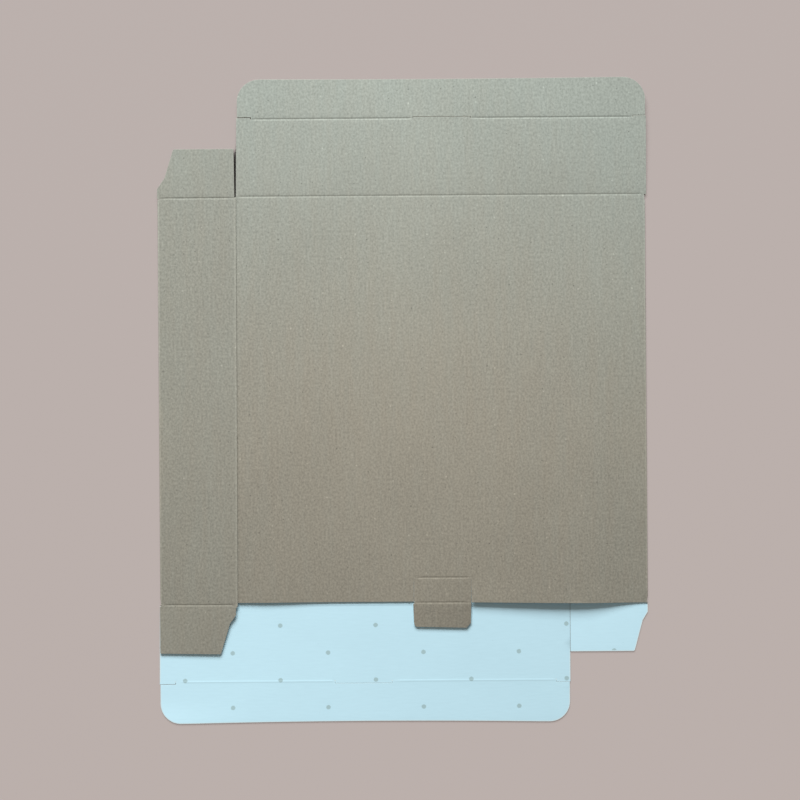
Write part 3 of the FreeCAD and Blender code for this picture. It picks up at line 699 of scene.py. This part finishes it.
class Look:
    """The node tree of a new material or world, with short ways to add to it."""

    def __init__(self, name, kind="materials"):
        self.owner = getattr(bpy.data, kind).new(name)
        self.owner.use_nodes = True
        self.tree = self.owner.node_tree
        self.tree.nodes.clear()

    def node(self, kind, inputs, **settings):
        made = self.tree.nodes.new("ShaderNode" + kind)
        for name, value in settings.items():
            setattr(made, name, value)
        for name, value in inputs.items():
            if isinstance(value, bpy.types.NodeSocket):
                self.tree.links.new(value, made.inputs[name])
            else:
                made.inputs[name].default_value = value
        return made

    def calc(self, operation, *values):
        return self.node("Math", dict(enumerate(values)), operation=operation).outputs[0]

    def vector(self, operation, *values):
        return self.node("VectorMath", dict(enumerate(values)), operation=operation).outputs[0]

    def measure(self, operation, *values):
        """A length or a distance of places."""
        return self.vector(operation, *values).node.outputs[1]

    def between(self, value, low, high, start=0.0, end=1.0):
        """Value from low..high to start..end, smoothly, and no further."""
        return self.node("MapRange", {0: value, 1: low, 2: high, 3: start, 4: end},
                         interpolation_type="SMOOTHSTEP").outputs[0]

    def change(self, tone, value, changes, share=1.0):
        """Tone with changes added, each from start at low to end at high; share is where."""
        for low, high, start, end in changes:
            step = self.between(value, low, high, start, end)
            tone = self.calc("MULTIPLY_ADD", step, share, tone)
        return tone

    def vary(self, tone, noise, amount):
        """Tone, more or less by up to half the amount as the noise goes."""
        return self.calc("MULTIPLY_ADD", self.calc("SUBTRACT", noise, 0.5), amount, tone)

    def blend(self, share, first, second):
        return self.node("Mix", {0: share, 6: first, 7: second}, data_type="RGBA").outputs[2]

    def scaled(self, value, scale):
        return self.node("VectorMath", {0: value, "Scale": scale}, operation="SCALE").outputs[0]

    def blank(self):
        """The place on the blank, in millimetres: (along, up, 0)."""
        return self.scaled(self.node("UVMap", {}, uv_map="blank").outputs[0], 1 / MM)

    def noise(self, place, size, shift=0.0, detail=2.0, roughness=0.5):
        """Noise about a half; size is its grain along and up, in millimetres."""
        scaled = self.vector("MULTIPLY_ADD", place, (1 / size[0], 1 / size[1], 1), (shift, shift, 0))
        return self.node("TexNoise", {"Vector": scaled, "Scale": 1.0, "Detail": detail,
                                      "Roughness": roughness}, noise_dimensions="2D").outputs[0]

    def specks(self, place, cell, radius, share, shift, slant=0.0):
        """1 on scattered specks: a share of the cells of that size holds one."""
        slanted = self.node("VectorRotate", {"Vector": place, "Angle": slant}).outputs[0]
        stretch = (1 / cell[0], 1 / cell[1], 1)
        scaled = self.vector("MULTIPLY_ADD", slanted, stretch, (shift, 2 * shift, 0))
        cells = self.node("TexVoronoi", {"Vector": scaled, "Scale": 1.0}, voronoi_dimensions="2D")
        drawn = self.node("SeparateColor", {0: cells.outputs["Color"]})
        size = self.calc("MULTIPLY_ADD", drawn.outputs[1], radius, radius * 0.5)
        dot = self.calc("SUBTRACT", 1.0, self.calc("DIVIDE", cells.outputs["Distance"], size))
        chosen = self.calc("LESS_THAN", drawn.outputs[0], share)
        return self.calc("MULTIPLY", self.between(dot, 0.0, 0.6), chosen)

    def finish(self, base, roughness, specular, height, depth):
        """The material: its shader, with bump of that depth in metres."""
        bump = self.node("Bump", {"Strength": 1.0, "Distance": depth, "Height": height})
        shader = self.node("BsdfPrincipled", {"Base Color": base, "Roughness": roughness,
                                              "Specular IOR Level": specular,
                                              "Normal": bump.outputs[0]})
        self.node("OutputMaterial", {0: shader.outputs[0]})
        return self.owner


# The kraft side is warm at the bottom end and turns grey towards the top: that grey is painted cool
# light from the top end.
KRAFT_WARM, KRAFT_GREY = colour(142, 136, 122), colour(141, 146, 137)
WHITE, DOT_GREY = colour(197, 231, 242), colour(163, 189, 190)
CORE_PALE, RIM_WHITE = colour(178, 175, 164), colour(214, 236, 240)

# Slow changes, as Look.change takes them: low, high, change at low, change at high.
# Places are in millimetres, up the blank or off the middle line of the face panel.
# Painted cool light: the kraft turns grey towards the top end and off the middle of the face.
COOL_LIGHT_UP, COOL_LIGHT_OFF = [(-50, 250, 0, 1)], [(50, 170, 0, 0.2)]
SIDE_COOL_LIGHT_UP = [(0, 120, 0.05, -0.26)]
STREAKED = [(0.3, 0.7, -0.06, 0.06)]
# Painted light on the kraft: paler and darker bands up the blank that follow how the light falls, and
# paler above the top crease to offset the shade of the curled closure. Then a painted highlight down
# the middle of the face.
KRAFT_LIGHT_UP = [(-120, 0, -0.03, 0.025), (20, 110, 0, -0.03), (150, 205, 0, -0.035),
           (TOP_CREASE / MM - 1, TOP_CREASE / MM + 1, 0, 0.035)]
KRAFT_HIGHLIGHT_OFF = [(0, 90, 0.04, 0)]
# On the side panel: paler at its lower end, a shade darker above it as the board's own colour, and
# paler on the upper dust flap, painted light to offset the shade of its curl.
SIDE_TONE_AND_LIGHT_UP = [(-135, -125, 0.065, 0), (-110, 110, 0, -0.06),
                (SIDE_TOP / MM - 1, SIDE_TOP / MM + 1, 0, 0.085)]
# Painted shade: the lock tab's tip is darker, where it slopes down away from the light.
TIP_PAINTED_SHADE_UP = [(TAB_FOLD / MM + 1, TAB_FOLD / MM - 2, 0, -0.14)]
# On the inside: paler towards the left fold, painted light from the left, and the right dust flap a
# shade paler; paler at the bottom end; and a painted highlight on the bottom tuck flap's left corner.
PALER_ALONG = [(on_back(SEAM) / MM, on_back(-FOLD) / MM, -0.02, 0.04),
               (on_back(SEAM) / MM + 1, on_back(SEAM) / MM - 1, 0, 0.05)]
PALER_UP = [(SIDE_BOTTOM / MM, BOTTOM_TUCK / MM - 25, 0, 0.05)]
PAINTED_CORNER_HIGHLIGHT = [(BOTTOM_TUCK / MM - 5, BOTTOM_TUCK / MM - 25, 0, 0.11)]

FIBRE_SLANTS = (0.3, 1.25, 2.0, 2.8)                # ways that the fibres lie, in radians
FOLD_RUB, RIGHT_RUB, LEFT_RUB = 0.25, 1.1, 1.5      # the folds are rubbed pale, this wide
# The second of these is a painted shadow on the face beside the side panel's raw edge.
EDGE_RUB, FACE_SEAM_SHADOW = (-1.6, -1.1, 0.12), (1.5, 0.9, -0.06)    # off the raw edge: from, to, change
# Marks of handling on the face panel, in millimetres: place, half size, paler by
MARKS = [((27.7, -124.3), (1.1, 0.9), 0.25), ((67.5, -116.8), (0.7, 0.7), -0.3),
         ((110.5, -129.7), (7.0, 1.1), 0.14)]
# Printed dots, in millimetres, each with a ragged edge that is soft by DOT_SOFT:
DOT_PITCH, DOT_ROW = 61.5, 17.6
DOT_RADIUS, DOT_SOFT = 1.45, 0.3
DOT_START = (on_back(-18.5 * MM) / MM, -144.2, 0)
DOT_STRENGTH = 0.84


def kraft_grain(look, spot):
    """The tone and the relief of kraft: mottle, an upright grain, clouds, fibres and specks."""
    mottle = look.noise(spot, (1.3, 1.6), shift=3.0, detail=3.0, roughness=0.6)
    grain = look.noise(spot, (1.6, 14.0), shift=11.0, roughness=0.6)
    cloud = look.noise(spot, (45.0, 60.0), shift=7.0)
    tone = look.vary(1.0, mottle, 0.72)
    tone = look.vary(tone, grain, 0.16)
    tone = look.vary(tone, cloud, 0.08)
    fibres = 0.0
    for number, slant in enumerate(FIBRE_SLANTS):
        strand = look.specks(spot, (5.0, 0.9), radius=0.22, share=0.5, shift=5.0 + 9 * number,
                             slant=slant)
        fibres = look.calc("MAXIMUM", fibres, strand)
    dark = look.specks(spot, (7.0, 7.5), radius=0.055, share=0.3, shift=20.0)
    pale = look.specks(spot, (11.0, 12.0), radius=0.045, share=0.3, shift=50.0)
    for specks, strength in ((fibres, 0.07), (dark, -0.38), (pale, 0.35)):
        tone = look.calc("MULTIPLY_ADD", specks, strength, tone)
    relief = look.calc("MULTIPLY_ADD", fibres, 0.35, look.calc("ADD", mottle, grain))
    return tone, relief


def rubs_and_seam_shadow(look, tone, along, up, on_face_panel):
    """The sleeve's folds and its raw edge are rubbed pale; the face beside that edge gets a painted
    shadow.
    """
    by_sleeve = look.calc("COMPARE", up, MIDDLE / MM, (SIDE_TOP - SIDE_BOTTOM) / 2 / MM)
    lean = (RAW_TOP_EDGE - RAW_EDGE) / (SIDE_TOP - SIDE_BOTTOM)
    upright = look.calc("MULTIPLY_ADD", up, -lean, along)
    edge, beside = ((panel(RAW_EDGE) - lean * SIDE_BOTTOM) / MM for panel in (on_side, on_face))
    on_sleeve_face = look.calc("MULTIPLY", by_sleeve, on_face_panel)
    # A paler rub off the side panel's raw edge, and a painted shadow on the face beside it.
    for line, (start, end, change), share in ((edge, EDGE_RUB, by_sleeve),
                                              (beside, FACE_SEAM_SHADOW, on_sleeve_face)):
        tone = look.change(tone, upright, [(line + start, line + end, 0, change)], share)
    for start, end, reach in ((ALONG_RIGHT, ALONG_BACK, RIGHT_RUB), (ALONG_LEFT, ALONG_SIDE, LEFT_RUB)):
        off_fold = look.calc("ABSOLUTE", look.calc("SUBTRACT", along, (start + end) / 2 / MM))
        tone = look.change(tone, off_fold, [(reach, 0.5 * reach, 0, FOLD_RUB)], by_sleeve)
    return tone


def kraft_board():
    """The brown outside of the board."""
    look = Look("kraft_board")
    spot = look.blank()
    along, up = look.node("SeparateXYZ", {0: spot}).outputs[:2]
    off_middle = look.calc("ABSOLUTE", look.calc("SUBTRACT", along, on_face(0) / MM))
    on_side_panel = look.calc("GREATER_THAN", along, ALONG_LEFT / MM)
    on_face_panel = look.calc("LESS_THAN", along, ALONG_RIGHT / MM)

    streaks = look.noise(spot, (7.0, 60.0), shift=31.0, detail=3.0, roughness=0.6)
    # The share of grey is painted cool light from the top end, mixed with the board's own streaks.
    cool_light_and_streaks = look.change(0.0, up, COOL_LIGHT_UP)
    cool_light_and_streaks = look.change(cool_light_and_streaks, off_middle, COOL_LIGHT_OFF)
    cool_light_and_streaks = look.change(cool_light_and_streaks, up, SIDE_COOL_LIGHT_UP, on_side_panel)
    cool_light_and_streaks = look.change(cool_light_and_streaks, streaks, STREAKED)

    tone, relief = kraft_grain(look, spot)
    # Painted light up the blank, and a painted highlight off the middle of the face.
    tone = look.change(tone, up, KRAFT_LIGHT_UP)
    tone = look.change(tone, off_middle, KRAFT_HIGHLIGHT_OFF)
    tone = look.change(tone, up, SIDE_TONE_AND_LIGHT_UP, on_side_panel)
    tone = look.change(tone, up, TIP_PAINTED_SHADE_UP, on_face_panel)
    tone = rubs_and_seam_shadow(look, tone, along, up, on_face_panel)
    for (x, y), size, paler in MARKS:
        off_mark = look.vector("SUBTRACT", spot, (on_face(x * MM) / MM, y, 0))
        gap = look.measure("LENGTH", look.vector("DIVIDE", off_mark, (*size, 1)))
        tone = look.change(tone, gap, [(1.0, 0.4, 0, paler)])
    base = look.scaled(look.blend(cool_light_and_streaks, KRAFT_WARM, KRAFT_GREY), tone)
    return look.finish(base, roughness=0.82, specular=0.25, height=relief, depth=0.018 * MM)


def printed_dots(look, spot):
    """1 on small round dots with ragged edges, in staggered rows, but for one missing dot."""
    period, gaps = (DOT_PITCH, 2 * DOT_ROW, 1), []
    for shift in (0.0, 0.5):
        start = (DOT_START[0] + shift * period[0], DOT_START[1] + shift * period[1], 0)
        turns = look.vector("DIVIDE", look.vector("SUBTRACT", spot, start), period)
        part = look.vector("FRACTION", look.vector("ADD", turns, (0.5, 0.5, 0)))
        away = look.vector("MULTIPLY", look.vector("SUBTRACT", part, (0.5, 0.5, 0)), period)
        gaps.append(look.measure("LENGTH", away))
    ragged = look.vary(look.calc("MINIMUM", *gaps), look.noise(spot, (0.7, 0.7), shift=2.0), 0.5)
    dots = look.between(ragged, DOT_RADIUS + DOT_SOFT, DOT_RADIUS - DOT_SOFT)
    missing = (DOT_START[0] - DOT_PITCH, DOT_START[1], 0)
    off_missing = look.measure("DISTANCE", spot, missing)
    return look.calc("MULTIPLY", dots, look.between(off_missing, 3.0, 4.0))


def printed_inside():
    """White clay-coated inside, printed with small grey dots."""
    look = Look("printed_inside")
    spot = look.blank()
    along, up = look.node("SeparateXYZ", {0: spot}).outputs[:2]
    soft = look.noise(spot, (60.0, 40.0), shift=9.0)
    comb = look.noise(spot, (9.0, 1.2), shift=13.0, roughness=0.6)
    tone = look.vary(1.0, soft, 0.05)
    tone = look.vary(tone, comb, 0.05)
    specks = look.specks(spot, (14.0, 14.0), radius=0.02, share=0.15, shift=4.0)
    tone = look.calc("MULTIPLY_ADD", specks, -0.1, tone)
    # Painted light from the left, and a painted highlight on the bottom tuck flap's left corner.
    tone = look.change(tone, along, PALER_ALONG)
    tone = look.change(tone, up, PALER_UP)
    near_left = look.between(along, on_back(-90 * MM) / MM, on_back(-FOLD) / MM)
    tone = look.change(tone, up, PAINTED_CORNER_HIGHLIGHT, near_left)
    printed = look.calc("MULTIPLY", printed_dots(look, spot), DOT_STRENGTH)
    base = look.scaled(look.blend(printed, WHITE, DOT_GREY), tone)
    relief = look.calc("ADD", comb, soft)
    return look.finish(base, roughness=0.55, specular=0.35, height=relief, depth=0.012 * MM)


def cut_core(name, pale):
    """A pale rough finish: the board's cut core, and, as inside_rim, a paler rim along the white
    inside's cut edges.
    """
    look = Look(name)
    rough = look.noise(look.blank(), (0.5, 0.5), shift=1.0, detail=3.0, roughness=0.6)
    base = look.scaled(pale[:3], look.vary(1.0, rough, 0.3))
    return look.finish(base, roughness=0.9, specular=0.2, height=rough, depth=0.02 * MM)


board_looks = [kraft_board(), printed_inside(), cut_core("cut_core", CORE_PALE),
               cut_core("inside_rim", RIM_WHITE)]


def flap(name, on_panel, corners, lay):
    """A loose flap that turns on its crease from a panel, with a strip of that panel."""
    piece = make_piece(name + "_board", along_blank(on_panel, corners), lay, False)
    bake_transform(piece)
    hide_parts(name)


sleeve = make_piece("sleeve_board", bottom_corners() + top_corners(), lay_sleeve, True)
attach(sleeve, "sleeve")
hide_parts("sleeve")

flap("top_closure", on_face, closure_corners(), lay_face(closure_curl))
flap("top_tuck_flap", on_face, tuck_corners(1, top_tuck_low, top_tuck_high),
     lay_face(closure_curl))
flap("bottom_tuck_flap", on_back,
     tuck_corners(-1, bottom_tuck_low, bottom_tuck_high), lay_back(level))
flap("left_dust_flap_top", on_side,
     dust_corners(-FOLD, -SEAM - DUST_SLIT + TOP_OUT, SIDE_TOP, 1, TOP_FLAP)
     + strip_corners(LEFT_FLAT, RAW_TOP_EDGE, SIDE_TOP, 1), lay_side(top_dust_curl))
flap("left_dust_flap_bottom", on_side,
     [(-SEAM - LEFT_IN, SIDE_BOTTOM - LEFT_STEP)]
     + dust_corners(-SEAM - LEFT_IN, -FOLD - LEFT_OUT, SIDE_BOTTOM, -1, LEFT_FLAP)[1:]
     + strip_corners(RAW_EDGE, LEFT_FLAT, SIDE_BOTTOM, -1), lay_side(side_lift))
flap("right_dust_flap_bottom", on_back,
     dust_corners(FOLD, FAR_EDGE, SIDE_BOTTOM, -1, RIGHT_FLAP)
     + strip_corners(RIGHT_FLAT, FAR_EDGE, SIDE_BOTTOM, -1), lay_back(level))
flap("lock_tab", on_face,
     [(tab_low.x, TAB_FOLD + STRIP), (tab_high.x, TAB_FOLD + STRIP),
      (tab_high.x, TAB_CREASE + STRIP), (tab_low.x, TAB_CREASE + STRIP)],
     lay_face(tab_lift))
flap("lock_tab_tip", on_face,
     [(tip_low.x, TIP_END + TIP_SLANT, TAB_RADIUS), (tip_high.x - TIP_BEVEL, TIP_END, SQUARE),
      (tip_high.x - TIP_TAPER, TIP_END + TIP_BEVEL, SQUARE),
      (tip_high.x, TAB_FOLD + STRIP), (tip_low.x, TAB_FOLD + STRIP),
      (tip_low.x, TAB_FOLD), (tip_low.x - TIP_OUT, TAB_FOLD)],
     lay_face(tab_lift))

# ---- floor, light and camera
BACKGROUND = colour(187, 176, 172)
FLOOR_SIZE = 6.0
FLOOR_DROP = 0.05 * MM
SHARE_LIT = 0.5                        # how much of the floor's look comes from the lamp
FLOOR_LIT = colour(187, 175, 170)      # its paint, darker towards the lamp to look even:
EVEN_AT, EVEN_POWER = 1.579, 2.17      # as written this far from it, and off it by this power
# Painted shade: the floor's paint and plain colour darken where little open sky reaches it, as in a
# narrow slit.
CROWD_REACH, CROWDED = 10 * MM, (0.45, 0.58)       # floor with less open sky than this
SLIT_SHADE = 0.1                                   # is this dark, as in a slit
LOOK_AT = Vector((-1.7 * MM, 0.75 * MM, 0))
CAMERA_HEIGHT = 0.60
FLOOR_SEEN = 0.5163                    # width of floor across the picture
CAMERA_ROLL = math.radians(-0.42)
LAMP_PLACE = Vector((-0.2, 1.30, 0.70))
LAMP_SIZE = (1.1, 0.62)
LAMP_POWER = 49
LAMP_COLOUR = (0.97, 1.0, 1.03)
AMBIENT = [0.222, 0.207, 0.193, 1]     # light from all round


def make_floor():
    """A plain floor: partly its flat colour, partly lit, so that it keeps the shadows."""
    bpy.ops.mesh.primitive_plane_add(size=FLOOR_SIZE, location=(0, 0, -FLOOR_DROP))
    floor = bpy.context.object
    floor.name = "floor"
    look = Look("plain_floor")
    path = look.node("LightPath", {})
    seen = look.calc("MAXIMUM", path.outputs["Is Camera Ray"], path.outputs["Is Glossy Ray"])
    seen = look.calc("MAXIMUM", seen, path.outputs["Is Transmission Ray"])
    plain = look.node("Emission", {"Color": BACKGROUND, "Strength": 1.0})
    spot = look.node("NewGeometry", {}).outputs["Position"]
    away = look.measure("DISTANCE", spot, LAMP_PLACE)
    # Painted shade in narrow gaps: less open sky makes the floor darker.
    open_sky = look.node("AmbientOcclusion", {"Distance": CROWD_REACH}, samples=16).outputs["AO"]
    clear = look.between(open_sky, *CROWDED)
    shade = look.calc("POWER", look.calc("DIVIDE", away, EVEN_AT), EVEN_POWER)
    shade = look.calc("MULTIPLY", shade, look.calc("MULTIPLY_ADD", clear, 1 - SLIT_SHADE, SLIT_SHADE))
    lit = look.node("BsdfDiffuse", {"Color": look.scaled(FLOOR_LIT[:3], shade)})
    share = look.calc("MULTIPLY", look.calc("MULTIPLY", seen, 1 - SHARE_LIT), clear)
    mixed = look.node("MixShader", {0: share, 1: lit.outputs[0], 2: plain.outputs[0]})
    look.node("OutputMaterial", {0: mixed.outputs[0]})
    floor.data.materials.append(look.owner)


def make_world():
    """An even ambient light; the camera sees the background's colour instead."""
    look = Look("studio", "worlds")
    by_camera = look.node("LightPath", {}).outputs["Is Camera Ray"]
    ambient, seen = (look.node("Background", {0: tint}) for tint in (AMBIENT, BACKGROUND))
    mixed = look.node("MixShader", {0: by_camera, 1: ambient.outputs[0], 2: seen.outputs[0]})
    look.node("OutputWorld", {0: mixed.outputs[0]})
    bpy.context.scene.world = look.owner


def make_lamp():
    """A wide low window beyond the top end, which throws the soft shadows."""
    data = bpy.data.lights.new("window", "AREA")
    data.shape = "RECTANGLE"
    data.size, data.size_y = LAMP_SIZE
    data.energy = LAMP_POWER
    data.color = LAMP_COLOUR
    lamp = bpy.data.objects.new("window", data)
    lamp.location = LAMP_PLACE
    lamp.rotation_euler = (-LAMP_PLACE).to_track_quat("-Z", "Y").to_euler()
    bpy.context.scene.collection.objects.link(lamp)


def make_camera():
    """A camera straight above the carton, turned a little."""
    data = bpy.data.cameras.new("overhead")
    data.lens = data.sensor_width * CAMERA_HEIGHT / FLOOR_SEEN
    data.clip_start, data.clip_end = 0.01, 20
    camera = bpy.data.objects.new("overhead", data)
    camera.location = LOOK_AT + Vector((0, 0, CAMERA_HEIGHT))
    camera.rotation_euler = (0, 0, CAMERA_ROLL)
    bpy.context.scene.collection.objects.link(camera)
    bpy.context.scene.camera = camera


make_floor()
make_world()
make_lamp()
make_camera()
bpy.context.scene.view_settings.view_transform = "Standard"
